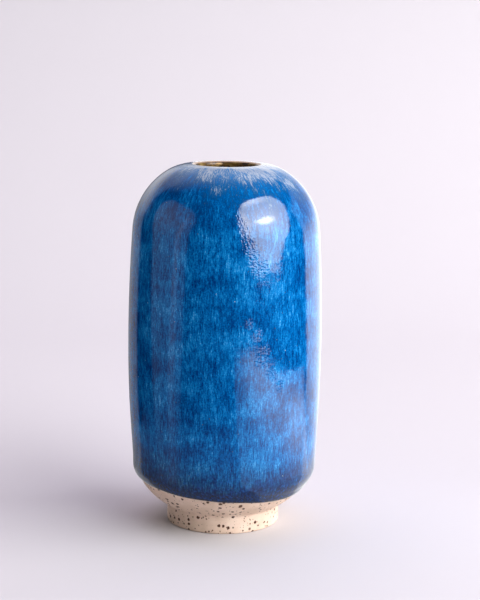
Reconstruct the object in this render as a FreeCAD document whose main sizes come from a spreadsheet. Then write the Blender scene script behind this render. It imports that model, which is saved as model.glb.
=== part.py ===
import FreeCAD
import Part
import Sketcher
import math
import os

# A stoneware bud vase: one thrown clay body, a blue glaze outside and a gold-brown glaze inside.
# Origin on the table under the middle of the foot, +Z up the axis, millimetres.

doc = FreeCAD.newDocument("BudVase")

# ---------------------------------------------------------------- sizes
sheet = doc.addObject("Spreadsheet::Sheet", "Sizes")
SIZES = [
    ("overall_height", "159"),
    ("overall_diameter", "85"),
    ("belly_height", "80.8"),
    ("upper_wall_arc", "728"),
    ("lower_wall_arc", "665"),
    ("base_arc", "25.4"),
    ("base_arc_height", "31.4"),
    ("foot_diameter", "49.8"),
    ("foot_edge_round", "0.9"),
    ("foot_ring_width", "5.4"),
    ("recess_depth", "3"),
    ("wall", "4.2"),
    ("outer_coat", "0.7"),
    ("inner_coat", "0.7"),
    ("mouth_diameter", "27.2"),
    ("lip_round", "1.5"),
    ("glaze_line_height", "18.4"),
    ("glaze_line_tilt", "4"),
    # worked out from the ones above
    ("clay_height", "=overall_height - outer_coat"),
    ("clay_radius", "=overall_diameter / 2 - outer_coat"),
    ("foot_radius", "=foot_diameter / 2"),
    ("recess_radius", "=foot_radius - foot_ring_width"),
    ("clay_lip_round", "=lip_round - inner_coat"),
    ("crest_radius", "=mouth_diameter / 2 + lip_round"),
    ("shoulder_arc", "=1.17 * (clay_radius - crest_radius)"),
    ("crown_arc", "=0.74 * (clay_radius - crest_radius)"),
]
for row, (alias, value) in enumerate(SIZES, start=1):
    sheet.set("A%d" % row, alias)
    sheet.set("B%d" % row, value)
    sheet.setAlias("B%d" % row, alias)
doc.recompute()


def size(alias):
    return float(sheet.get(alias))


# ---------------------------------------------------------------- sketch helpers
START, END, CENTRE = 1, 2, 3
ORIGIN = (-1, 1)
V_AXIS = -2


def new_body(label):
    body = doc.addObject("PartDesign::Body", label)
    body.Label = label
    return body


def new_sketch(body, name):
    """A sketch on the body's own XZ plane: x is the radius, y is the height."""
    sketch = body.newObject("Sketcher::SketchObject", name)
    plane = [f for f in body.Origin.OriginFeatures if f.Role == "XZ_Plane"][0]
    sketch.AttachmentSupport = [(plane, "")]
    sketch.MapMode = "FlatFace"
    return sketch


def fix(sketch, kind, target, formula, name):
    """A driving dimension tied to the sheet; target is geometry and point numbers."""
    start_value = abs(sheet_value(formula))
    index = sketch.addConstraint(Sketcher.Constraint(kind, *target, start_value))
    sketch.renameConstraint(index, name)
    sketch.setExpression("Constraints." + name, formula)


def sheet_value(formula):
    """Work out a sum or difference of cells written as 'Sizes.a - Sizes.b'."""
    total = 0.0
    sign = 1.0
    for word in formula.split():
        if word in ("+", "-"):
            sign = 1.0 if word == "+" else -1.0
        else:
            total += sign * size(word.replace("Sizes.", ""))
    return total


def add_line(sketch, start, end):
    start_point = FreeCAD.Vector(start[0], start[1], 0)
    end_point = FreeCAD.Vector(end[0], end[1], 0)
    return sketch.addGeometry(Part.LineSegment(start_point, end_point), False)


def add_arc(sketch, centre, radius, first_angle, last_angle):
    circle = Part.Circle(FreeCAD.Vector(centre[0], centre[1], 0), FreeCAD.Vector(0, 0, 1), radius)
    return sketch.addGeometry(Part.ArcOfCircle(circle, first_angle, last_angle), False)


def point_of(sketch, geometry, point):
    place = sketch.getPoint(geometry, point)
    return (place.x, place.y)


def join(sketch, first, second, smooth=False):
    """Join two end points given as (geometry, point); smooth also makes them tangent."""
    kind = "Tangent" if smooth else "Coincident"
    sketch.addConstraint(Sketcher.Constraint(kind, first[0], first[1], second[0], second[1]))


# ---------------------------------------------------------------- the outline of the pot
def circle_crossing(first, first_radius, second, second_radius):
    """The right-hand crossing of two circles, looking from the first centre to the second."""
    dx = second[0] - first[0]
    dy = second[1] - first[1]
    gap = math.hypot(dx, dy)
    along = (first_radius ** 2 - second_radius ** 2 + gap ** 2) / (2 * gap)
    across = math.sqrt(first_radius ** 2 - along ** 2)
    x = first[0] + (along * dx + across * dy) / gap
    y = first[1] + (along * dy - across * dx) / gap
    return (x, y)


def direction(start, end):
    return math.atan2(end[1] - start[1], end[0] - start[0])


def outline_centres():
    """Centres of the five arcs of the clay outline, and the angles where they meet."""
    upper = (size("clay_radius") - size("upper_wall_arc"), size("belly_height"))
    lower = (size("clay_radius") - size("lower_wall_arc"), size("belly_height"))
    crown = (size("crest_radius"), size("clay_height") - size("crown_arc"))
    reach = size("upper_wall_arc") - size("shoulder_arc")
    shoulder = circle_crossing(upper, reach, crown, size("shoulder_arc") - size("crown_arc"))
    rise = size("base_arc_height") - size("belly_height")
    base_x = lower[0] + math.sqrt((size("lower_wall_arc") - size("base_arc")) ** 2 - rise ** 2)
    base = (base_x, size("base_arc_height"))
    return {"base": base, "lower": lower, "upper": upper, "shoulder": shoulder, "crown": crown}


def add_outline(sketch, tag, offset, base_angle):
    """Five tangent arcs from the base up to the crest of the lip, moved outwards by offset.

    offset is a formula added to every radius, such as '+ Sizes.outer_coat', or ''.
    Returns the five arcs from the bottom upwards; the caller places the lower end.
    """
    centres = outline_centres()
    base_turn = direction(centres["lower"], centres["base"])
    upper_turn = direction(centres["upper"], centres["shoulder"])
    crown_turn = direction(centres["shoulder"], centres["crown"])
    plan = [
        ("base", "Sizes.base_arc", base_angle, base_turn),
        ("lower", "Sizes.lower_wall_arc", base_turn, 0.0),
        ("upper", "Sizes.upper_wall_arc", 0.0, upper_turn),
        ("shoulder", "Sizes.shoulder_arc", upper_turn, crown_turn),
        ("crown", "Sizes.crown_arc", crown_turn, math.pi / 2),
    ]
    arcs = []
    for name, radius, first_angle, last_angle in plan:
        formula = (radius + " " + offset).strip()
        arc = add_arc(sketch, centres[name], sheet_value(formula), first_angle, last_angle)
        if arcs:
            join(sketch, (arcs[-1], END), (arc, START), smooth=True)
        fix(sketch, "Radius", (arc,), formula, tag + "_" + name + "_radius")
        arcs.append(arc)
    base, lower, upper, shoulder, crown = arcs
    fix(sketch, "DistanceY", (*ORIGIN, base, CENTRE), "Sizes.base_arc_height", tag + "_base_height")
    fix(sketch, "DistanceY", (*ORIGIN, lower, CENTRE), "Sizes.belly_height", tag + "_lower_height")
    fix(sketch, "DistanceY", (*ORIGIN, upper, CENTRE), "Sizes.belly_height", tag + "_upper_height")
    upper_x = "Sizes.upper_wall_arc - Sizes.clay_radius"
    fix(sketch, "DistanceX", (upper, CENTRE, *ORIGIN), upper_x, tag + "_upper_reach")
    fix(sketch, "DistanceX", (*ORIGIN, crown, CENTRE), "Sizes.crest_radius", tag + "_crown_reach")
    crown_y = "Sizes.clay_height - Sizes.crown_arc"
    fix(sketch, "DistanceY", (*ORIGIN, crown, CENTRE), crown_y, tag + "_crown_height")
    sketch.addConstraint(Sketcher.Constraint("Vertical", crown, CENTRE, crown, END))
    return arcs


def add_mouth(sketch, tag, crown_end, lip_round):
    """Under-lip round, straight mouth wall and lip round, from the crown arc up to the crest."""
    crest = size("crest_radius")
    radius = sheet_value(lip_round)
    under_y = point_of(sketch, *crown_end)[1] + radius
    over_y = size("clay_height") - size("clay_lip_round")
    under = add_arc(sketch, (crest, under_y), radius, math.pi, 1.5 * math.pi)
    straight = add_line(sketch, (crest - radius, under_y), (crest - radius, over_y))
    over = add_arc(sketch, (crest, over_y), radius, 0.5 * math.pi, math.pi)
    join(sketch, crown_end, (under, END), smooth=True)
    join(sketch, (under, START), (straight, START), smooth=True)
    join(sketch, (straight, END), (over, END), smooth=True)
    fix(sketch, "Radius", (under,), lip_round, tag + "_under_lip_radius")
    fix(sketch, "Radius", (over,), lip_round, tag + "_lip_radius")
    over_height = "Sizes.clay_height - Sizes.clay_lip_round"
    fix(sketch, "DistanceY", (*ORIGIN, over, CENTRE), over_height, tag + "_lip_height")
    sketch.addConstraint(Sketcher.Constraint("Vertical", straight))
    sketch.addConstraint(Sketcher.Constraint("Vertical", over, CENTRE, over, START))
    return over


def add_inside(sketch, tag, offset, lip_round):
    """The hollow's outline from the middle of the floor up to the crest of the lip."""
    base = outline_centres()["base"]
    floor_y = base[1] - sheet_value("Sizes.base_arc " + offset)
    arcs = add_outline(sketch, tag, offset, -math.pi / 2)
    floor = add_line(sketch, (0, floor_y), (base[0], floor_y))
    join(sketch, (floor, END), (arcs[0], START), smooth=True)
    sketch.addConstraint(Sketcher.Constraint("PointOnObject", floor, START, V_AXIS))
    sketch.addConstraint(Sketcher.Constraint("Horizontal", floor))
    lip = add_mouth(sketch, tag, (arcs[-1], END), lip_round)
    return floor, lip


def revolve(body, kind, name, sketch):
    feature = body.newObject("PartDesign::" + kind, name)
    feature.Profile = sketch
    feature.ReferenceAxis = (sketch, ["V_Axis"])
    feature.Angle = 360
    sketch.Visibility = False
    doc.recompute()
    return feature


# ---------------------------------------------------------------- the clay body
def foot_height():
    base = outline_centres()["base"]
    return base[1] - math.sqrt(size("base_arc") ** 2 - (size("foot_radius") - base[0]) ** 2)


def clay_form(body):
    """The thrown form, still solid, with its foot."""
    sketch = new_sketch(body, "FormOutline")
    radius = size("foot_radius")
    height = foot_height()
    crest = size("crest_radius")
    top_y = size("clay_height")
    base_angle = direction(outline_centres()["base"], (radius, height))
    arcs = add_outline(sketch, "form", "", base_angle)
    under = add_line(sketch, (0, 0), (radius, 0))
    side = add_line(sketch, (radius, 0), (radius, height))
    top = add_line(sketch, (crest, top_y), (0, top_y))
    axis = add_line(sketch, (0, top_y), (0, 0))
    join(sketch, (under, END), (side, START))
    join(sketch, (side, END), (arcs[0], START))
    join(sketch, (arcs[-1], END), (top, START))
    join(sketch, (top, END), (axis, START))
    join(sketch, (axis, END), (under, START))
    join(sketch, (under, START), ORIGIN)
    sketch.addConstraint(Sketcher.Constraint("Horizontal", under))
    sketch.addConstraint(Sketcher.Constraint("Vertical", side))
    sketch.addConstraint(Sketcher.Constraint("Horizontal", top))
    sketch.addConstraint(Sketcher.Constraint("Vertical", axis))
    fix(sketch, "DistanceX", (under, START, under, END), "Sizes.foot_radius", "foot_radius")
    return revolve(body, "Revolution", "Form", sketch)


def clay_hollow(body):
    """The hollow inside, open at the mouth."""
    sketch = new_sketch(body, "HollowOutline")
    floor, lip = add_inside(sketch, "hollow", "- Sizes.wall", "Sizes.clay_lip_round")
    top_y = size("clay_height")
    floor_y = point_of(sketch, floor, START)[1]
    top = add_line(sketch, (size("crest_radius"), top_y), (0, top_y))
    axis = add_line(sketch, (0, top_y), (0, floor_y))
    join(sketch, (lip, START), (top, START))
    join(sketch, (top, END), (axis, START))
    join(sketch, (axis, END), (floor, START))
    sketch.addConstraint(Sketcher.Constraint("Horizontal", top))
    sketch.addConstraint(Sketcher.Constraint("Vertical", axis))
    return revolve(body, "Groove", "Hollow", sketch)


def foot_recess(body):
    """The shallow recess turned out of the underside, which leaves the foot ring."""
    sketch = new_sketch(body, "RecessOutline")
    radius = size("recess_radius")
    depth = size("recess_depth")
    corners = [(0, 0), (radius, 0), (radius, depth), (0, depth)]
    sides = []
    for number in range(4):
        sides.append(add_line(sketch, corners[number], corners[(number + 1) % 4]))
    for number in range(4):
        join(sketch, (sides[number], END), (sides[(number + 1) % 4], START))
    for number, kind in enumerate(("Horizontal", "Vertical", "Horizontal", "Vertical")):
        sketch.addConstraint(Sketcher.Constraint(kind, sides[number]))
    join(sketch, (sides[0], START), ORIGIN)
    fix(sketch, "DistanceX", (sides[0], START, sides[0], END), "Sizes.recess_radius", "recess_radius")
    fix(sketch, "DistanceY", (sides[1], START, sides[1], END), "Sizes.recess_depth", "recess_depth")
    return revolve(body, "Groove", "Recess", sketch)


def foot_edges(body, shape):
    """Names of the two circles where the foot ring meets the table."""
    names = []
    for number, edge in enumerate(shape.Edges, start=1):
        box = edge.BoundBox
        if box.ZMax < 0.01 and box.XLength > 2 * size("recess_radius") - 0.01:
            names.append("Edge%d" % number)
    return names


def stoneware_body():
    body = new_body("stoneware_body")
    clay_form(body)
    clay_hollow(body)
    recess = foot_recess(body)
    softened = body.newObject("PartDesign::Fillet", "FootEdges")
    softened.Base = (recess, foot_edges(body, recess.Shape))
    softened.setExpression("Radius", "Sizes.foot_edge_round")
    doc.recompute()
    return body


# ---------------------------------------------------------------- the blue glaze outside
def glaze_coat(body):
    """The fired coat over the clay, from below its edge up to the crest of the lip."""
    sketch = new_sketch(body, "CoatOutline")
    centre = outline_centres()["base"]
    start_y = size("glaze_line_height") / 2
    skin = []
    for tag, offset in (("inner", ""), ("outer", "+ Sizes.outer_coat")):
        radius = sheet_value(("Sizes.base_arc " + offset).strip())
        angle = -math.asin((centre[1] - start_y) / radius)
        arcs = add_outline(sketch, tag, offset, angle)
        index = sketch.addConstraint(Sketcher.Constraint("DistanceY", *ORIGIN, arcs[0], START, start_y))
        sketch.renameConstraint(index, tag + "_start")
        sketch.setExpression("Constraints." + tag + "_start", "Sizes.glaze_line_height / 2")
        skin.append(arcs)
    inner, outer = skin
    low = add_line(sketch, point_of(sketch, inner[0], START), point_of(sketch, outer[0], START))
    high = add_line(sketch, point_of(sketch, inner[-1], END), point_of(sketch, outer[-1], END))
    join(sketch, (low, START), (inner[0], START))
    join(sketch, (low, END), (outer[0], START))
    join(sketch, (high, START), (inner[-1], END))
    join(sketch, (high, END), (outer[-1], END))
    return revolve(body, "Revolution", "Coat", sketch)


def glaze_line(body):
    """The dipped edge: everything under a slightly tilted level is left bare."""
    sketch = new_sketch(body, "DipLevel")
    reach = size("overall_diameter")
    slope = math.tan(math.radians(size("glaze_line_tilt")))
    level = size("glaze_line_height")
    corners = [(-reach, 0), (reach, 0), (reach, level - reach * slope), (-reach, level + reach * slope)]
    sides = []
    for number in range(4):
        sides.append(add_line(sketch, corners[number], corners[(number + 1) % 4]))
    for number in range(4):
        join(sketch, (sides[number], END), (sides[(number + 1) % 4], START))
    bottom, right, edge, left = sides
    sketch.addConstraint(Sketcher.Constraint("Horizontal", bottom))
    sketch.addConstraint(Sketcher.Constraint("Vertical", right))
    sketch.addConstraint(Sketcher.Constraint("Vertical", left))
    sketch.addConstraint(Sketcher.Constraint("PointOnObject", bottom, START, -1))
    fix(sketch, "DistanceX", (bottom, START, *ORIGIN), "Sizes.overall_diameter", "left_reach")
    fix(sketch, "DistanceX", (*ORIGIN, bottom, END), "Sizes.overall_diameter", "right_reach")
    for name, side, sign in (("right_level", right, "-"), ("left_level", left, "+")):
        points = (side, START, side, END) if sign == "-" else (side, END, side, START)
        value = level - reach * slope if sign == "-" else level + reach * slope
        index = sketch.addConstraint(Sketcher.Constraint("DistanceY", *points, value))
        sketch.renameConstraint(index, name)
        drop = "Sizes.overall_diameter * tan(Sizes.glaze_line_tilt * 1 deg)"
        sketch.setExpression("Constraints." + name, "Sizes.glaze_line_height " + sign + " " + drop)
    cut = body.newObject("PartDesign::Pocket", "GlazeLine")
    cut.Profile = sketch
    cut.Midplane = True
    cut.setExpression("Length", "Sizes.overall_diameter * 2")
    sketch.Visibility = False
    doc.recompute()
    return cut


def outer_glaze():
    body = new_body("outer_glaze")
    glaze_coat(body)
    glaze_line(body)
    return body


# ---------------------------------------------------------------- the gold-brown glaze inside
def inner_glaze():
    """The liner, from the floor up the wall and over the lip to the crest."""
    body = new_body("inner_glaze")
    sketch = new_sketch(body, "LinerOutline")
    clay_side = add_inside(sketch, "clay", "- Sizes.wall", "Sizes.clay_lip_round")
    face = add_inside(sketch, "face", "- Sizes.wall - Sizes.inner_coat", "Sizes.lip_round")
    low = point_of(sketch, clay_side[0], START)
    high = point_of(sketch, face[0], START)
    axis = add_line(sketch, low, high)
    crest = add_line(sketch, point_of(sketch, clay_side[1], START), point_of(sketch, face[1], START))
    join(sketch, (axis, START), (clay_side[0], START))
    join(sketch, (axis, END), (face[0], START))
    join(sketch, (crest, START), (clay_side[1], START))
    join(sketch, (crest, END), (face[1], START))
    revolve(body, "Revolution", "Liner", sketch)
    return body


# ---------------------------------------------------------------- build, check, export
bodies = [stoneware_body(), outer_glaze(), inner_glaze()]
doc.recompute()

for item in doc.Objects:
    if "Invalid" in item.State or "Error" in item.State:
        raise RuntimeError(item.Name + " did not build")
    if item.TypeId == "Sketcher::SketchObject" and not item.FullyConstrained:
        raise RuntimeError(item.Name + " is not fully constrained")
for body in bodies:
    if body.Shape.isNull() or not body.Shape.isValid():
        raise RuntimeError(body.Label + " has no sound shape")

os.makedirs("parts", exist_ok=True)
for body in bodies:
    body.Shape.exportStep("parts/" + body.Label + ".step")
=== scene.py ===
import bpy
import math
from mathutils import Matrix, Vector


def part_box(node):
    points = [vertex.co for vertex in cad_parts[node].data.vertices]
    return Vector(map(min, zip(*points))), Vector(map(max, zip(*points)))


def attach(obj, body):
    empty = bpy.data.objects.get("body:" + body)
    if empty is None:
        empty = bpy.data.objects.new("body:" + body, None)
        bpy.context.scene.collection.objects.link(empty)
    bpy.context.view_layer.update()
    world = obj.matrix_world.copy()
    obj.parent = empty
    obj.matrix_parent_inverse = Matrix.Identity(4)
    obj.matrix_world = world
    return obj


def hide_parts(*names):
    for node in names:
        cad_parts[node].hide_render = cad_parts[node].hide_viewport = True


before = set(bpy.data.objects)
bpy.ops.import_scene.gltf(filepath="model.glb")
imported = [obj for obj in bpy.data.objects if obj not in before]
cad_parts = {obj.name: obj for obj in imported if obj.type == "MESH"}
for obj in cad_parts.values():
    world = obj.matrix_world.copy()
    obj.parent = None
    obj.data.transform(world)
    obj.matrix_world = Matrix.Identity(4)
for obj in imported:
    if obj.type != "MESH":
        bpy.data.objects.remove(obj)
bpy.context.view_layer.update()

# ---------------------------------------------------------------------------------------------
# Camera: a long lens a little above the pot, level with its shoulder, looking slightly down.
# The pot stands a little left of the middle and the lens is turned a touch, so it leans right.
MM = 0.001
lens = bpy.data.cameras.new("product_lens")
lens.sensor_width = 36.0
lens.lens = 95.3
camera = bpy.data.objects.new("camera", lens)
bpy.context.collection.objects.link(camera)
camera.location = (4.8 * MM, -687.0 * MM, 221.6 * MM)
camera.rotation_euler = (math.radians(90.0 - 10.1), math.radians(-0.78), 0.0)
bpy.context.scene.camera = camera

# ---------------------------------------------------------------------------------------------
# Clay body: one wall of speckled cream stoneware, thrown on a wheel. Its foot ring was turned
# when leather hard and sponged, and the clay shows bare from the foot up to the glaze line.
clay_low, clay_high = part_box("stoneware_body")
clay_top = clay_high[2]
clay_radius = (clay_high[0] - clay_low[0]) / 2
wall = 4.2 * MM
lip_round = 0.8 * MM
foot_radius = 24.9 * MM
recess_radius = 19.5 * MM
recess_depth = 3.0 * MM
recess_corner = 1.2 * MM
foot_edge = 0.9 * MM
crest_radius = 15.1 * MM
belly_height = 80.8 * MM


def pot_arcs():
    """The five arcs of the clay's outside, as (centre, radius, first angle, last angle)."""
    upper_arc, lower_arc, base_arc = 728.0 * MM, 665.0 * MM, 25.4 * MM
    shoulder_arc = 1.17 * (clay_radius - crest_radius)
    crown_arc = 0.74 * (clay_radius - crest_radius)
    upper = (clay_radius - upper_arc, belly_height)
    lower = (clay_radius - lower_arc, belly_height)
    crown = (crest_radius, clay_top - crown_arc)
    base_z = 31.4 * MM
    base = (lower[0] + math.sqrt((lower_arc - base_arc) ** 2 - (base_z - belly_height) ** 2), base_z)
    reach, gap = upper_arc - shoulder_arc, shoulder_arc - crown_arc
    dx, dz = crown[0] - upper[0], crown[1] - upper[1]
    span = math.hypot(dx, dz)
    along = (reach ** 2 - gap ** 2 + span ** 2) / (2 * span)
    across = math.sqrt(reach ** 2 - along ** 2)
    shoulder = (
        upper[0] + (along * dx + across * dz) / span,
        upper[1] + (along * dz - across * dx) / span,
    )
    base_turn = math.atan2(base[1] - lower[1], base[0] - lower[0])
    upper_turn = math.atan2(shoulder[1] - upper[1], shoulder[0] - upper[0])
    crown_turn = math.atan2(crown[1] - shoulder[1], crown[0] - shoulder[0])
    foot_turn = -math.acos((foot_radius - base[0]) / base_arc)
    return {
        "base": (base, base_arc, foot_turn, base_turn),
        "lower": (lower, lower_arc, base_turn, 0.0),
        "upper": (upper, upper_arc, 0.0, upper_turn),
        "shoulder": (shoulder, shoulder_arc, upper_turn, crown_turn),
        "crown": (crown, crown_arc, crown_turn, math.pi / 2),
    }


def arc(centre, radius, first, last, steps):
    """Points (radius, height) along an arc, both ends included."""
    points = []
    for step in range(steps + 1):
        angle = first + (last - first) * step / steps
        points.append((centre[0] + radius * math.cos(angle), centre[1] + radius * math.sin(angle)))
    return points


def side_of_pot(offset, base_first):
    """The side from the base arc up to the crest of the lip, moved out by offset."""
    points = []
    for name, steps in (("base", 22), ("lower", 8), ("upper", 8), ("shoulder", 22), ("crown", 16)):
        centre, radius, first, last = POT[name]
        if name == "base":
            first = base_first
        points += arc(centre, radius + offset, first, last, steps)[0 if name == "base" else 1:]
    return points


def throw(name, outline, turns=256):
    """Draw half an outline by extruding one point after another, then spin it round the axis."""
    bpy.ops.object.select_all(action="DESELECT")
    bpy.ops.mesh.primitive_plane_add(size=0.002, location=(0, 0, 0))
    piece = bpy.context.object
    piece.name = name
    piece.data.name = name
    bpy.ops.object.mode_set(mode="EDIT")
    bpy.ops.mesh.merge(type="CENTER")
    bpy.ops.transform.translate(value=(outline[0][0], 0, outline[0][1]))
    for here, there in zip(outline, outline[1:]):
        move = (there[0] - here[0], 0, there[1] - here[1])
        bpy.ops.mesh.extrude_region_move(TRANSFORM_OT_translate={"value": move})
    bpy.ops.mesh.select_all(action="SELECT")
    bpy.ops.mesh.spin(steps=turns, angle=2 * math.pi, center=(0, 0, 0), axis=(0, 0, 1))
    bpy.ops.mesh.select_all(action="SELECT")
    bpy.ops.mesh.remove_doubles(threshold=0.00001)
    bpy.ops.mesh.normals_make_consistent(inside=False)
    bpy.ops.object.mode_set(mode="OBJECT")
    bpy.ops.object.shade_smooth_by_angle(angle=math.radians(40))
    return piece


POT = pot_arcs()
base_centre, base_arc_radius, foot_turn, base_turn = POT["base"]
foot_top = base_centre[1] + base_arc_radius * math.sin(foot_turn)

# underside: recess, then the ring it leaves, with sponged round edges
clay_outline = [(0.0, recess_depth)]
clay_outline += [(recess_radius * step / 6, recess_depth) for step in range(1, 6)]
corner_centre = (recess_radius - recess_corner, recess_depth - recess_corner)
clay_outline += arc(corner_centre, recess_corner, math.pi / 2, 0, 6)
clay_outline += arc((recess_radius + foot_edge, foot_edge), foot_edge, math.pi, 1.5 * math.pi, 8)
clay_outline += arc((foot_radius - foot_edge, foot_edge), foot_edge, -math.pi / 2, 0, 8)
clay_outline += [(foot_radius, foot_top * step / 8) for step in range(2, 7)]
# the soft inside corner left by the turning tool where the ring meets the base, as millimetres out
# and up from the sharp corner
for out, up in ((0.02, -0.90), (0.16, -0.35), (0.55, 0.06)):
    clay_outline.append((foot_radius + out * MM, foot_top + up * MM))
past_corner = foot_turn + 0.06
clay_outline += side_of_pot(0.0, past_corner)
lip_centre = (crest_radius, clay_top - lip_round)
under_lip = (crest_radius, POT["crown"][0][1] + POT["crown"][1] - wall + lip_round)
clay_outline += arc(lip_centre, lip_round, math.pi / 2, math.pi, 8)[1:]
clay_outline += arc(under_lip, lip_round, math.pi, 1.5 * math.pi, 8)
clay_outline += list(reversed(side_of_pot(-wall, -math.pi / 2)))[1:]
clay_outline += [(0.0, base_centre[1] - base_arc_radius + wall)]
clay_body = throw("stoneware_pot", clay_outline)


def hex_colour(code):
    """An sRGB hex value as the linear colour that Blender mixes light with."""
    parts = [int(code[start:start + 2], 16) / 255 for start in (0, 2, 4)]
    return tuple(c / 12.92 if c <= 0.04045 else ((c + 0.055) / 1.055) ** 2.4 for c in parts) + (1.0,)


def node(tree, kind, inputs=None, stops=(), **settings):
    """Add a node with its settings, colour stops as (place, hex), and values or links in its sockets."""
    made = tree.nodes.new(kind)
    for key, value in settings.items():
        setattr(made, key, value)
    for key, value in (inputs or {}).items():
        socket = made.inputs[key]
        if isinstance(value, bpy.types.NodeSocket):
            tree.links.new(value, socket)
        else:
            socket.default_value = value
    for number, (place, code) in enumerate(stops):
        band = made.color_ramp.elements
        element = band[number] if number < len(band) else band.new(place)
        element.position = place
        element.color = hex_colour(code)
    return made


def new_finish(name):
    """An empty material with its surface output; returns the material and its node tree."""
    finish = bpy.data.materials.new(name)
    finish.use_nodes = True
    finish.node_tree.nodes.clear()
    return finish, finish.node_tree


# Bare stoneware, fired and lightly sanded: a matt cream body clouded over 9 mm, with iron in the
# clay melted into dark brown spots up to 1.5 mm wide, and a brown and tan pepper between them.
# Each layer of specks is (spacing in mm, share of places, radius as a part of the spacing, colour).
bare_clay, tree = new_finish("bare speckled stoneware")
place = node(tree, "ShaderNodeTexCoord").outputs["Object"]
wander = node(tree, "ShaderNodeTexNoise", {"Vector": place, "Scale": 1.0 / (0.909 * MM), "Detail": 2.0})
shift = node(
    tree, "ShaderNodeVectorMath", {0: wander.outputs["Color"], 1: (0.5, 0.5, 0.5)}, operation="SUBTRACT")
push = node(tree, "ShaderNodeVectorMath", {0: shift.outputs[0], "Scale": 0.9 * MM}, operation="SCALE")
rough_place = node(
    tree, "ShaderNodeVectorMath", {0: place, 1: push.outputs[0]}, operation="ADD").outputs[0]
cloud = node(tree, "ShaderNodeTexNoise", {
    "Vector": place, "Scale": 1.0 / (9.09 * MM), "Detail": 4.0, "Roughness": 0.6})
clay_colour = node(tree, "ShaderNodeValToRGB", {"Fac": cloud.outputs["Fac"]}, stops=[
    (0.3, "D0B6A0"), (0.5, "DDC3AF"), (0.72, "E6D0BE")]).outputs["Color"]
iron_specks = ((2.2, 0.66, 0.235, "452312"), (1.5, 0.45, 0.19, "6A4630"), (1.0, 0.34, 0.15, "94745A"))
for spacing, share, spot, code in iron_specks:
    cells = node(tree, "ShaderNodeTexVoronoi", {"Vector": rough_place, "Scale": 1.0 / (spacing * MM)})
    pick = node(tree, "ShaderNodeSeparateColor", {"Color": cells.outputs["Color"]})
    chosen = node(tree, "ShaderNodeMath", {0: pick.outputs[0], 1: share}, operation="LESS_THAN")
    radius = node(tree, "ShaderNodeMapRange", {0: pick.outputs[1], 3: spot * 0.5, 4: spot * 1.5})
    soft = node(
        tree, "ShaderNodeMath", {0: cells.outputs["Distance"], 1: radius.outputs[0]}, operation="DIVIDE")
    edge = node(tree, "ShaderNodeMapRange", {0: soft.outputs[0], 1: 1.25, 2: 0.85})
    cover = node(
        tree, "ShaderNodeMath", {0: edge.outputs[0], 1: chosen.outputs[0]}, operation="MULTIPLY")
    clay_colour = node(tree, "ShaderNodeMix", {
        0: cover.outputs[0], 6: clay_colour, 7: hex_colour(code)}, data_type="RGBA").outputs[2]
grit = node(tree, "ShaderNodeTexNoise", {
    "Vector": place, "Scale": 1.0 / (0.3846 * MM), "Detail": 3.0, "Roughness": 0.7})
sanded = node(
    tree, "ShaderNodeBump", {"Strength": 0.55, "Distance": 0.06 * MM, "Height": grit.outputs["Fac"]})
surface = node(tree, "ShaderNodeBsdfPrincipled", {
    "Base Color": clay_colour, "Roughness": 0.82, "IOR": 1.5, "Normal": sanded.outputs[0]})
node(tree, "ShaderNodeOutputMaterial", {"Surface": surface.outputs[0]})
clay_body.data.materials.append(bare_clay)
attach(clay_body, "root")
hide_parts("stoneware_body")

# ---------------------------------------------------------------------------------------------
# Blue glaze: poured over the outside and fired. It stops in a rolled edge that the dip left a
# little lower on the right, and runs up over the shoulder to the crest of the lip.
coat = 0.7 * MM
line_height, line_drop = 18.5 * MM, 2.5 * MM
line_turn = math.asin((line_height - base_centre[1]) / (base_arc_radius + coat))
edge_centre = (
    base_centre[0] + (base_arc_radius + coat / 2) * math.cos(line_turn),
    base_centre[1] + (base_arc_radius + coat / 2) * math.sin(line_turn),
)
coat_outline = side_of_pot(coat, line_turn)
coat_outline += list(reversed(side_of_pot(0.0, line_turn)))
coat_outline += arc(edge_centre, coat / 2, line_turn + math.pi, line_turn + 2 * math.pi, 8)[1:]
glaze_coat = throw("blue_glaze_coat", coat_outline)


def line_at(turn):
    """Height of the glaze's edge round the pot: the tilt of the dip and a hand's unevenness."""
    wave = 0.30 * math.sin(2 * turn + 0.6) + 0.16 * math.sin(5 * turn + 2.0) + 0.07 * math.sin(13 * turn)
    return line_height - line_drop * math.cos(turn) + wave * MM


def hump(height, peak, spread):
    """A soft rise, 1 at its peak, that dies away over its spread; both are in millimetres."""
    return math.exp(-((height - peak * MM) / (spread * MM)) ** 2)


def sag_at(turn, height):
    """Extra glaze that sagged down the wall and froze as a soft swelling over the edge."""
    swelling = 0.80 * MM * hump(height, 23.0, 4.4)
    leaning = 0.30 * MM * math.cos(turn) * hump(height, 32.0, 16.0)
    taper = min(1.0, max(0.0, (height - line_at(turn)) / (3.5 * MM)))
    return (swelling + leaning) * taper


def run_from_lip(radius, height):
    """Length along the glaze from the crest of the lip down to a point on it."""
    total = 0.0
    for name in ("crown", "shoulder", "upper", "lower", "base"):
        centre, arc_radius, first, last = POT[name]
        angle = math.atan2(height - centre[1], radius - centre[0])
        if angle >= first or name == "base":
            return total + (last - angle) * (arc_radius + coat)
        total += (last - first) * (arc_radius + coat)


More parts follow.
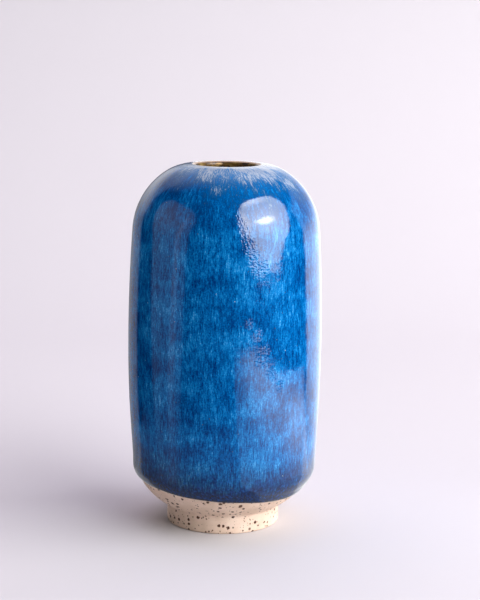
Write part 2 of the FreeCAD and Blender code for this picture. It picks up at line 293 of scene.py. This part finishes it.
# move the lower edge along the base arc, thicken it into a soft bead, let the coat sag, and note on
# every point how far the glaze has run down from the lip and how far it is above its own edge
run_down = glaze_coat.data.attributes.new("run_down", "FLOAT", "POINT")
above_edge = glaze_coat.data.attributes.new("above_edge", "FLOAT", "POINT")
lower_centre, lower_radius = POT["lower"][:2]
for number, vertex in enumerate(glaze_coat.data.vertices):
    x, y, z = vertex.co
    radius = math.hypot(x, y)
    turn = math.atan2(y, x)
    proud = math.hypot(radius - lower_centre[0], z - lower_centre[1]) - lower_radius
    if z < base_centre[1] + 2 * MM:
        reach = math.hypot(radius - base_centre[0], z - base_centre[1])
        angle = math.atan2(z - base_centre[1], radius - base_centre[0])
        if angle < base_turn:
            proud = reach - base_arc_radius
            here_turn = math.asin((line_at(turn) - base_centre[1]) / (base_arc_radius + coat))
            angle = base_turn + (angle - base_turn) * (here_turn - base_turn) / (line_turn - base_turn)
            above = (angle - here_turn) * reach
            if proud > 0.3 * coat:
                reach += 0.22 * MM * hump(above, 1.2, 1.3)
            radius = base_centre[0] + reach * math.cos(angle)
            z = base_centre[1] + reach * math.sin(angle)
    run_down.data[number].value = run_from_lip(radius, z)
    above_edge.data[number].value = z - line_at(turn)
    if z < belly_height and proud > 0.5 * coat:
        radius += sag_at(turn, z)
    vertex.co = (radius * math.cos(turn), radius * math.sin(turn), z)

# Streaked cobalt glaze: glass rich in metal oxides, IOR 1.6, over hair-fine streaks of paler blue
# 0.5 mm wide that ran down as it melted. Over the shoulder it is darkened with painted shade; it breaks
# to milky grey-lavender on the crown and pools navy at the edge.
skin_radius = 42.0 * MM
blue_glaze, tree = new_finish("streaked cobalt blue glaze")
place = node(tree, "ShaderNodeTexCoord").outputs["Object"]
flat = node(
    tree, "ShaderNodeVectorMath", {0: place, 1: (1.0, 1.0, 0.0)}, operation="MULTIPLY").outputs[0]
spoke = node(tree, "ShaderNodeVectorMath", {0: flat}, operation="NORMALIZE").outputs[0]
around = node(
    tree, "ShaderNodeVectorMath", {0: spoke, "Scale": skin_radius}, operation="SCALE").outputs[0]
run = node(tree, "ShaderNodeAttribute", attribute_name="run_down").outputs["Fac"]
above = node(tree, "ShaderNodeAttribute", attribute_name="above_edge").outputs["Fac"]
down = node(tree, "ShaderNodeCombineXYZ", {2: run}).outputs[0]
skin = node(tree, "ShaderNodeVectorMath", {0: around, 1: down}, operation="ADD").outputs[0]


def streaks(width, length, detail, seed):
    """Noise stretched down the pot: width and length in millimetres."""
    stretched = node(tree, "ShaderNodeMapping", {
        "Vector": skin, "Location": (seed, 0, seed), "Scale": (1.0, 1.0, width / length)}).outputs[0]
    noise = node(tree, "ShaderNodeTexNoise", {
        "Vector": stretched, "Scale": 1.0 / (width * MM), "Detail": detail, "Roughness": 0.55})
    return noise.outputs["Fac"]


hair = streaks(0.5, 2.6, 2.5, 0.1)
strand = streaks(1.6, 7.5, 2.0, 0.3)
cloud = streaks(15.0, 11.0, 2.5, 0.5)
grain = streaks(0.6, 0.7, 3.0, 0.7)
tone = node(tree, "ShaderNodeMath", {0: cloud, 1: 0.41}, operation="MULTIPLY").outputs[0]
for pattern, share in ((strand, 0.30), (hair, 0.45), (grain, 0.36)):
    tone = node(
        tree, "ShaderNodeMath", {0: pattern, 1: share, 2: tone}, operation="MULTIPLY_ADD").outputs[0]
# painted shade on the shoulder: the blue darkens towards the lip, starting 38 mm down the glaze and at its
# darkest from 16 mm
shoulder_painted_shade = node(tree, "ShaderNodeMapRange", {0: run, 1: 38.0 * MM, 2: 16.0 * MM, 4: -0.10}).outputs[0]
tone = node(tree, "ShaderNodeMath", {0: tone, 1: shoulder_painted_shade}, operation="ADD").outputs[0]
glaze_colour = node(tree, "ShaderNodeValToRGB", {"Fac": tone}, stops=[
    (0.55, "00205F"), (0.67, "003F7A"), (0.76, "00579A"), (0.87, "127CC0"), (1.0, "58A8DC"),
]).outputs["Color"]

# milky crown: thickest round the mouth and at the front, torn into streaks where it thins
milky_side = (math.cos(math.radians(62)), -math.sin(math.radians(62)), 0.0)
lean = node(
    tree, "ShaderNodeVectorMath", {0: spoke, 1: milky_side}, operation="DOT_PRODUCT").outputs["Value"]
ragged = node(
    tree, "ShaderNodeMath", {0: lean, 1: -12.0 * MM, 2: run}, operation="MULTIPLY_ADD").outputs[0]
for pattern, reach in ((strand, 20.0), (hair, 34.0), (grain, 24.0), (cloud, 44.0)):
    ragged = node(tree, "ShaderNodeMath", {
        0: pattern, 1: reach * MM, 2: ragged}, operation="MULTIPLY_ADD").outputs[0]
milk = node(tree, "ShaderNodeMapRange", {0: ragged, 1: 75.0 * MM, 2: 56.0 * MM}).outputs[0]
milk_colour = node(tree, "ShaderNodeValToRGB", {"Fac": milk}, stops=[
    (0.0, "0A5A90"), (0.5, "2F76A6"), (1.0, "97A4B6")]).outputs["Color"]
cover = node(tree, "ShaderNodeMath", {0: milk, 1: 0.9}, operation="MULTIPLY").outputs[0]
milky = node(
    tree, "ShaderNodeMix", {0: cover, 6: glaze_colour, 7: milk_colour}, data_type="RGBA").outputs[2]

# navy pool above the edge, then the thin dark line of the edge itself
pool_edge = node(
    tree, "ShaderNodeMath", {0: hair, 1: 8.0 * MM, 2: above}, operation="MULTIPLY_ADD").outputs[0]
pool = node(tree, "ShaderNodeMapRange", {0: pool_edge, 1: 24.0 * MM, 2: 8.0 * MM, 4: 0.92}).outputs[0]
fleck = node(
    tree, "ShaderNodeTexNoise", {"Vector": skin, "Scale": 1.0 / (1.111 * MM), "Detail": 2.0}).outputs["Fac"]
navy = node(tree, "ShaderNodeValToRGB", {"Fac": fleck}, stops=[
    (0.42, "081030"), (0.55, "0C1C4A"), (0.7, "153A78")]).outputs["Color"]
pooled = node(tree, "ShaderNodeMix", {0: pool, 6: milky, 7: navy}, data_type="RGBA").outputs[2]
rim = node(tree, "ShaderNodeMapRange", {0: above, 1: 1.0 * MM, 2: 0.3 * MM, 4: 0.85}).outputs[0]
rimmed = node(
    tree, "ShaderNodeMix", {0: rim, 6: pooled, 7: hex_colour("0E1E3E")}, data_type="RGBA").outputs[2]

# pinheads of iron about 0.5 mm wide that came up through the glaze, most of them olive, a few pale
finished = rimmed
for spacing, share, spot, code in ((3.0, 0.40, 0.085, "4A4A34"), (4.2, 0.25, 0.06, "86A6B4")):
    cells = node(tree, "ShaderNodeTexVoronoi", {"Vector": place, "Scale": 1.0 / (spacing * MM)})
    pick = node(tree, "ShaderNodeSeparateColor", {"Color": cells.outputs["Color"]})
    chosen = node(
        tree, "ShaderNodeMath", {0: pick.outputs[0], 1: share}, operation="LESS_THAN").outputs[0]
    dot = node(
        tree, "ShaderNodeMapRange", {0: cells.outputs["Distance"], 1: spot, 2: spot * 0.6}).outputs[0]
    dotted = node(tree, "ShaderNodeMath", {0: dot, 1: chosen}, operation="MULTIPLY").outputs[0]
    mixed = node(tree, "ShaderNodeMix", {0: dotted, 6: finished, 7: hex_colour(code)}, data_type="RGBA")
    finished = mixed.outputs[2]

# relief: the slow swell of the glaze's thickness, an orange peel all over, and a few patches on the
# right of the front where it boiled and froze as pimples; each patch is (degrees round from the
# front, height and reach in mm)
swell = node(
    tree, "ShaderNodeTexNoise", {"Vector": skin, "Scale": 1.0 / (9.0 * MM), "Detail": 1.0}).outputs["Fac"]
peel = node(
    tree, "ShaderNodeTexNoise", {"Vector": skin, "Scale": 1.0 / (1.2 * MM), "Detail": 3.0}).outputs["Fac"]
pimple = 0.75 * MM
cells = node(tree, "ShaderNodeTexVoronoi", {"Vector": skin, "Scale": 1.0 / pimple}, feature="SMOOTH_F1")
pimples = cells.outputs["Distance"]
boiled = 0.0
boil_patches = (
    (11, 144, 6), (10, 138, 7), (18, 147, 6), (12, 132, 6), (15, 126, 6), (20, 120, 6), (38, 143, 4),
    (19, 92, 3.5), (24, 86, 3.5), (22, 80, 4.5), (14, 97, 3), (29, 74, 4), (34, 68, 3.5))
for turn, height, reach in boil_patches:
    angle = math.radians(turn)
    spot = (skin_radius * math.sin(angle), -skin_radius * math.cos(angle), height * MM)
    away = node(tree, "ShaderNodeVectorMath", {0: place, 1: spot}, operation="DISTANCE").outputs["Value"]
    patch = node(tree, "ShaderNodeMapRange", {0: away, 1: reach * MM, 2: reach * 0.4 * MM}).outputs[0]
    boiled = node(tree, "ShaderNodeMath", {0: patch, 1: boiled}, operation="MAXIMUM").outputs[0]
relief = node(tree, "ShaderNodeMath", {0: boiled, 1: pimples}, operation="MULTIPLY").outputs[0]
for pattern, depth in ((swell, 1.0), (peel, 0.22), (hair, 0.12)):
    relief = node(
        tree, "ShaderNodeMath", {0: pattern, 1: depth, 2: relief}, operation="MULTIPLY_ADD").outputs[0]
glassy = node(tree, "ShaderNodeBump", {"Strength": 1.0, "Distance": 0.10 * MM, "Height": relief})
surface = node(tree, "ShaderNodeBsdfPrincipled", {
    "Base Color": finished, "Roughness": 0.07, "IOR": 1.6, "Normal": glassy.outputs[0]})
node(tree, "ShaderNodeOutputMaterial", {"Surface": surface.outputs[0]})
glaze_coat.data.materials.append(blue_glaze)
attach(glaze_coat, "root")
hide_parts("outer_glaze")

# ---------------------------------------------------------------------------------------------
# Liner glaze: poured in and out again, so it coats the whole inside and rolls over the lip to
# meet the blue on the crest. A dark gold-brown with a metallic shine.
liner = 0.7 * MM
liner_outline = [(0.0, base_centre[1] - base_arc_radius + wall)]
liner_outline += side_of_pot(-wall, -math.pi / 2)
liner_outline += arc(under_lip, lip_round, 1.5 * math.pi, math.pi, 8)[1:]
liner_outline += arc(lip_centre, lip_round, math.pi, math.pi / 2, 8)
liner_outline += arc(lip_centre, lip_round + liner, math.pi / 2, math.pi, 10)
liner_outline += arc(under_lip, lip_round + liner, math.pi, 1.5 * math.pi, 10)
liner_outline += list(reversed(side_of_pot(-wall - liner, -math.pi / 2)))[1:]
liner_outline += [(0.0, base_centre[1] - base_arc_radius + wall + liner)]
liner_coat = throw("gold_brown_liner", liner_outline)

# Gold-brown liner glaze: iron-rich glass with a metallic bloom, blotched from near black to gold. On
# the crest of the lip it runs thin and the pale clay shows through.
gold_brown, tree = new_finish("gold-brown metallic liner glaze")
place = node(tree, "ShaderNodeTexCoord").outputs["Object"]
height = node(tree, "ShaderNodeSeparateXYZ", {0: place}).outputs[2]
mottle = node(
    tree, "ShaderNodeTexNoise", {"Vector": place, "Scale": 1.0 / (3.125 * MM), "Detail": 4.0}).outputs["Fac"]
brown = node(tree, "ShaderNodeValToRGB", {"Fac": mottle}, stops=[
    (0.38, "2E1F10"), (0.5, "6B5028"), (0.6, "8C7440"), (0.72, "B89A66")]).outputs["Color"]
thin = node(tree, "ShaderNodeMapRange", {
    0: height, 1: clay_top + 0.05 * MM, 2: clay_top + 0.45 * MM, 4: 0.8}).outputs[0]
lined = node(
    tree, "ShaderNodeMix", {0: thin, 6: brown, 7: hex_colour("C9AE9C")}, data_type="RGBA").outputs[2]
ripple = node(tree, "ShaderNodeBump", {"Strength": 0.6, "Distance": 0.1 * MM, "Height": mottle})
surface = node(tree, "ShaderNodeBsdfPrincipled", {
    "Base Color": lined, "Roughness": 0.22, "IOR": 1.5, "Metallic": 0.35, "Normal": ripple.outputs[0]})
node(tree, "ShaderNodeOutputMaterial", {"Surface": surface.outputs[0]})
liner_coat.data.materials.append(gold_brown)
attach(liner_coat, "root")
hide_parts("inner_glaze")

# ---------------------------------------------------------------------------------------------
# Table and backdrop: one wide sheet of white paper, flat under the pot and swept up behind it. It
# is kept out of the glaze's reflections, which come from the lit cards of the next section.
bpy.ops.object.select_all(action="DESELECT")
bpy.ops.mesh.primitive_plane_add(size=1.0, location=(0, 0, 0))
sweep = bpy.context.object
sweep.name = "paper_sweep"
bpy.ops.object.mode_set(mode="EDIT")
floor_wide, floor_deep, floor_middle = 2.8, 1.8, -0.5
bpy.ops.transform.resize(value=(floor_wide, floor_deep, 1.0))
bpy.ops.transform.translate(value=(0, floor_middle, 0))
bpy.ops.mesh.select_mode(type="EDGE")
bpy.ops.mesh.select_all(action="DESELECT")
bpy.ops.object.mode_set(mode="OBJECT")
back_y = max(v.co.y for v in sweep.data.vertices)
for edge in sweep.data.edges:
    edge.select = all(sweep.data.vertices[i].co.y > back_y - 1e-6 for i in edge.vertices)
bpy.ops.object.mode_set(mode="EDIT")
bend, bend_steps, back_tall = 0.35, 24, 1.2
for step in range(bend_steps):
    first = math.pi / 2 * step / bend_steps
    last = math.pi / 2 * (step + 1) / bend_steps
    move = (0, bend * (math.sin(last) - math.sin(first)), bend * (math.cos(first) - math.cos(last)))
    bpy.ops.mesh.extrude_region_move(TRANSFORM_OT_translate={"value": move})
bpy.ops.mesh.extrude_region_move(TRANSFORM_OT_translate={"value": (0, 0, back_tall)})
bpy.ops.object.mode_set(mode="OBJECT")
bpy.ops.object.shade_smooth()
paper, tree = new_finish("white paper")
surface = node(tree, "ShaderNodeBsdfPrincipled", {"Base Color": hex_colour("C6C3C6"), "Roughness": 0.95})
node(tree, "ShaderNodeOutputMaterial", {"Surface": surface.outputs[0]})
sweep.data.materials.append(paper)
sweep.visible_glossy = False

# ---------------------------------------------------------------------------------------------
# Studio light: a big cloth softbox to the right with its lamp in the middle, a dim one to the left,
# and white cards round the table and overhead that show only as soft shine in the glaze.
def glow_panel(name, shape, corner, lobes, shine_only=False):
    """A flat cloth or card that adds its glow to what is behind it. Its shape is its corners in
    metres, anticlockwise, rounded off by corner; each lobe of light is (x, y, half width, half
    height, strength) and fades out to its own edge."""
    bpy.ops.object.select_all(action="DESELECT")
    bpy.ops.mesh.primitive_plane_add(size=1.0, location=(0, 0, 0))
    panel = bpy.context.object
    panel.name = name
    for vertex, place in zip((0, 1, 3, 2), shape):
        panel.data.vertices[vertex].co = (place[0], place[1], 0)
    bpy.ops.object.mode_set(mode="EDIT")
    bpy.ops.mesh.select_all(action="SELECT")
    bpy.ops.mesh.bevel(offset=corner, segments=8, affect="VERTICES")
    bpy.ops.object.mode_set(mode="OBJECT")
    cloth, tree = new_finish(name + " cloth")
    spot = node(tree, "ShaderNodeTexCoord").outputs["Object"]
    glow = 0.0
    for x, y, half_wide, half_tall, strength in lobes:
        mapped = node(tree, "ShaderNodeMapping", {
            "Vector": spot, "Location": (-x / half_wide, -y / half_tall, 0),
            "Scale": (1 / half_wide, 1 / half_tall, 1)}).outputs[0]
        away = node(tree, "ShaderNodeVectorMath", {0: mapped}, operation="LENGTH").outputs["Value"]
        part = node(tree, "ShaderNodeMapRange", {0: away, 1: 1.0, 2: 0.0, 4: strength},
                    interpolation_type="SMOOTHERSTEP").outputs[0]
        glow = node(tree, "ShaderNodeMath", {0: part, 1: glow}, operation="ADD").outputs[0]
    lit = node(tree, "ShaderNodeEmission", {"Color": (1, 1, 1, 1), "Strength": glow})
    clear = node(tree, "ShaderNodeBsdfTransparent")
    both = node(tree, "ShaderNodeAddShader", {0: lit.outputs[0], 1: clear.outputs[0]})
    node(tree, "ShaderNodeOutputMaterial", {"Surface": both.outputs[0]})
    panel.data.materials.append(cloth)
    panel.visible_camera = False
    panel.visible_shadow = False
    panel.visible_diffuse = not shine_only
    return panel


def aim(panel, azimuth, elevation, distance):
    """Turn a panel to the pot's middle; azimuth is measured from the front towards the right."""
    turn, rise = math.radians(azimuth), math.radians(elevation)
    panel.location = (
        distance * math.cos(rise) * math.sin(turn),
        -distance * math.cos(rise) * math.cos(turn),
        0.11 + distance * math.sin(rise),
    )
    panel.rotation_euler = (math.pi / 2 - rise, 0, turn)


def oblong(wide, tall):
    """Corners of a rectangular panel about its middle, anticlockwise."""
    return ((-wide / 2, -tall / 2), (wide / 2, -tall / 2), (wide / 2, tall / 2), (-wide / 2, tall / 2))


# the two softboxes, drawn in at the corners and, on the left, towards the stand, then the walls,
# ceiling and back; a lobe as wide as even lights its whole panel alike
even = 9.0
key = glow_panel(
    "key_softbox", ((-0.57, -0.53), (0.50, -0.53), (0.60, 0.55), (-0.44, 0.55)), 0.33,
    ((0, 0, even, even, 5.0), (0, 0, 0.58, 0.53, 3.4), (0, 0, 0.30, 0.12, 15.0),
     (-0.47, 0.05, 0.20, 0.60, 7.0), (-0.05, 0.50, 0.45, 0.16, 5.0)), shine_only=True)
aim(key, 53, 27, 0.90)
fill = glow_panel(
    "left_softbox", ((-0.14, -0.95), (0.30, -0.95), (0.60, 0.47), (-0.46, 0.47)), 0.34,
    ((0, 0.0, even, 0.95, 0.28), (0, 0.22, 0.75, 0.55, 0.30)))
aim(fill, -76, 12, 0.80)
right_wall = glow_panel(
    "right_wall", ((-0.42, -0.60), (0.70, -0.60), (0.70, 1.0), (-1.35, 1.0)), 0.10,
    ((0, 0, even, even, 0.6), (0, 0.02, even, 0.45, 1.6)), shine_only=True)
aim(right_wall, 148, -8, 1.0)
left_wall = glow_panel(
    "left_wall", oblong(0.80, 2.2), 0.10,
    ((0, -0.2, even, even, 0.30), (0, 0.2, 0.6, 1.0, 0.2)), shine_only=True)
aim(left_wall, -147, 4, 1.0)
ceiling = glow_panel("ceiling_card", oblong(2.4, 1.8), 0.30, ((0.15, 0, 1.2, 0.9, 0.8),), shine_only=True)
aim(ceiling, 180, 62, 1.2)
back_card = glow_panel("back_card", oblong(3.0, 0.8), 0.20, ((0, 0, 1.7, 0.5, 0.8),), shine_only=True)
aim(back_card, -165, 20, 1.3)

# a faint card lying on the paper round the pot, and a bright one over its right half
table_glow = glow_panel(
    "table_glow", ((-0.48, -0.42), (0.48, -0.42), (0.48, 0.06), (-0.48, 0.06)), 0.02,
    ((0.06, 0.0, 0.34, 0.28, 0.34),), shine_only=True)
table_glow.location.z = 0.4 * MM
bright_card = glow_panel(
    "bright_card", ((0.015, 0.03), (0.085, -0.43), (0.26, -0.41), (0.36, 0.085)), 0.03,
    ((0, 0, even, even, 0.35), (0.235, -0.20, 0.19, 0.50, 2.1), (0.19, 0.0, 0.12, 0.10, 0.9)),
    shine_only=True)
bright_card.location.z = 0.6 * MM


def soft_light(name, azimuth, elevation, distance, wide, tall, radiance, tint):
    """Light for the clay and the paper through a sheet of diffusing cloth, too even to shine. The
    distance and the sheet's size are in metres."""
    light = bpy.data.lights.new(name, "AREA")
    light.shape = "RECTANGLE"
    light.size, light.size_y = wide, tall
    light.energy = radiance * wide * tall * math.pi
    light.color = hex_colour(tint)[:3]
    panel = bpy.data.objects.new(name, light)
    bpy.context.collection.objects.link(panel)
    aim(panel, azimuth, elevation, distance)
    panel.visible_camera = False
    panel.visible_glossy = False


soft_light("right_light", 66, 25, 1.8, 2.5, 2.0, 5.5, "FFFFFF")
soft_light("overhead", 175, 73, 1.2, 1.6, 1.1, 2.5, "EFE2F6")

room = bpy.data.worlds.new("studio")
bpy.context.scene.world = room
room.use_nodes = True
room.node_tree.nodes["Background"].inputs["Color"].default_value = hex_colour("F3EEF5")
room.node_tree.nodes["Background"].inputs["Strength"].default_value = 0.95
room.cycles_visibility.glossy = False
room.cycles_visibility.diffuse = False
bpy.context.scene.view_settings.view_transform = "Standard"
